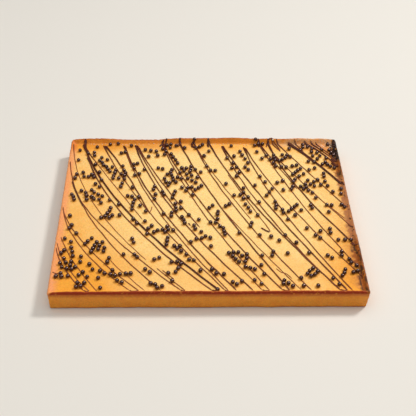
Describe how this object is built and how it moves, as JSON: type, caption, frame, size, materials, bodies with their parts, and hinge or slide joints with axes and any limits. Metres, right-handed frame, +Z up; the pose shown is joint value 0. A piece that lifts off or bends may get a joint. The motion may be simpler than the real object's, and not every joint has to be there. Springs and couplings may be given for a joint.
{
  "type": "caramel slice",
  "caption": "Uncut rectangular caramel slice with a golden baked top, a browned raised crust rim, piped chocolate lines and scattered chocolate pearls.",
  "frame": {"origin": "middle of the flat underside, on the surface the slab rests on", "axes": "+Z up through the baked top, +X along the long side, -Y towards the near side, the one the picture was taken from"},
  "size_m": [0.32, 0.2581, 0.0282],
  "materials": {
    "baked_caramel": "golden baked caramel, soft sheen, browned towards the rim and on the sides",
    "chocolate_line": "set piped dark chocolate, glossy",
    "chocolate_pearl": "polished dark chocolate coating"
  },
  "bodies": {
    "root": {"caramel_slice": "baked_caramel"}
  },
  "joints": []
}
